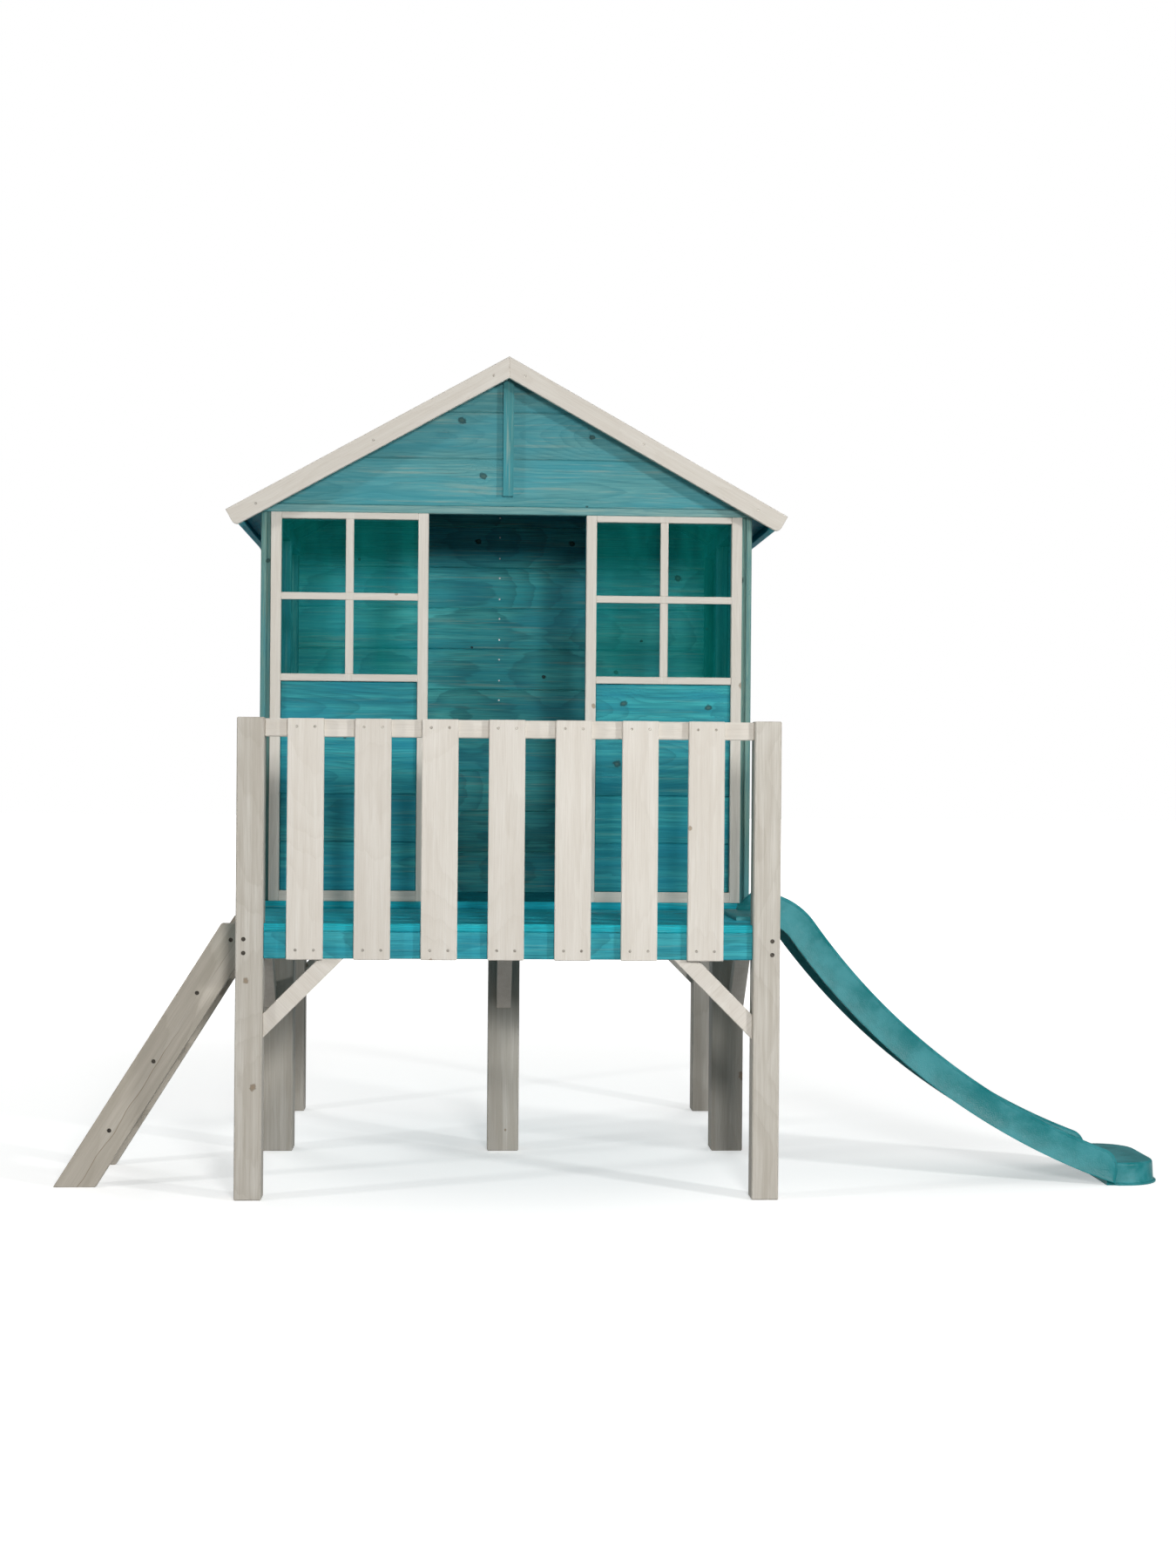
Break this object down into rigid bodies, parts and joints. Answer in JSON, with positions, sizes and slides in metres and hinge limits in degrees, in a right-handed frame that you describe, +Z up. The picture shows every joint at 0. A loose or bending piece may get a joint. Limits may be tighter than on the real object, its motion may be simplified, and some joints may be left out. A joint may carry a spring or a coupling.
{
  "type": "timber playhouse",
  "caption": "Raised timber playhouse with a gable roof, fenced veranda, windows either side of an open doorway, side ladder and curved plastic slide.",
  "frame": {"origin": "centre of the foot of the middle post, on the ground, on the centre line of the house", "axes": "+X to the slide, +Y to the back of the house, +Z up"},
  "size_m": [3.1909, 1.863, 2.456],
  "materials": {
    "teal_stained_wood": "sawn and planed softwood under a semi-transparent teal stain, grain and knots showing",
    "framing_wood": "planed softwood framing under the same teal stain, in shade",
    "whitewashed_wood": "planed softwood with a matt off-white wash, fine grain and small knots",
    "post_wood": "planed square posts with a warm grey-white wash",
    "ladder_wood": "planed boards with a greyer wash, a long check and a few knots",
    "ridge_strip": "thin matt teal strip",
    "clear_acrylic": "thin clear sheet with a slight green tint",
    "slide_plastic": "moulded polyethylene, satin, faintly mottled, scuffed on the bed",
    "bolt_steel": "dark coated bolt heads, sunk in the wood",
    "screw_steel": "plated countersunk screw heads, dulled"
  },
  "bodies": {
    "root": {"back_batten": "teal_stained_wood", "back_wall_boards": "teal_stained_wood", "back_wall_studs": "framing_wood", "balustrade_screws": "screw_steel", "bargeboard_front_left": "whitewashed_wood", "bargeboard_front_right": "whitewashed_wood", "bargeboard_rear_left": "whitewashed_wood", "bargeboard_rear_right": "whitewashed_wood", "bolts": "bolt_steel", "brace_front_left": "whitewashed_wood", "brace_front_right": "whitewashed_wood", "brace_mid_centre": "whitewashed_wood", "brace_mid_left": "whitewashed_wood", "brace_mid_right": "whitewashed_wood", "brace_rear_left": "whitewashed_wood", "brace_rear_right": "whitewashed_wood", "corner_trims": "teal_stained_wood", "door_header": "teal_stained_wood", "eave_fascia_left": "teal_stained_wood", "eave_fascia_right": "teal_stained_wood", "front_boards_left": "teal_stained_wood", "front_boards_right": "teal_stained_wood", "front_fascia": "teal_stained_wood", "front_sill": "teal_stained_wood", "front_wall_studs": "framing_wood", "gable_boards": "teal_stained_wood", "house_floor_boards": "teal_stained_wood", "joists": "teal_stained_wood", "king_post": "teal_stained_wood", "ladder_cleat": "ladder_wood", "ladder_stringer_far": "ladder_wood", "ladder_stringer_near": "ladder_wood", "ladder_treads": "ladder_wood", "mid_beam": "teal_stained_wood", "pickets": "whitewashed_wood", "post_front_left": "post_wood", "post_front_right": "post_wood", "post_mid_centre": "post_wood", "post_mid_left": "post_wood", "post_mid_right": "post_wood", "post_rear_left": "post_wood", "post_rear_right": "post_wood", "rafters": "framing_wood", "rear_beam": "teal_stained_wood", "ridge_board": "framing_wood", "ridge_cap": "ridge_strip", "roof_boards_left": "teal_stained_wood", "roof_boards_right": "teal_stained_wood", "side_beam_left": "teal_stained_wood", "side_beam_right": "teal_stained_wood", "side_boards_left": "teal_stained_wood", "side_boards_right": "teal_stained_wood", "side_wall_frames": "framing_wood", "slide": "slide_plastic", "top_rail": "whitewashed_wood", "trim_screws": "screw_steel", "veranda_deck_boards": "teal_stained_wood", "window_frame_left": "whitewashed_wood", "window_frame_right": "whitewashed_wood", "window_panes": "clear_acrylic"}
  },
  "joints": []
}
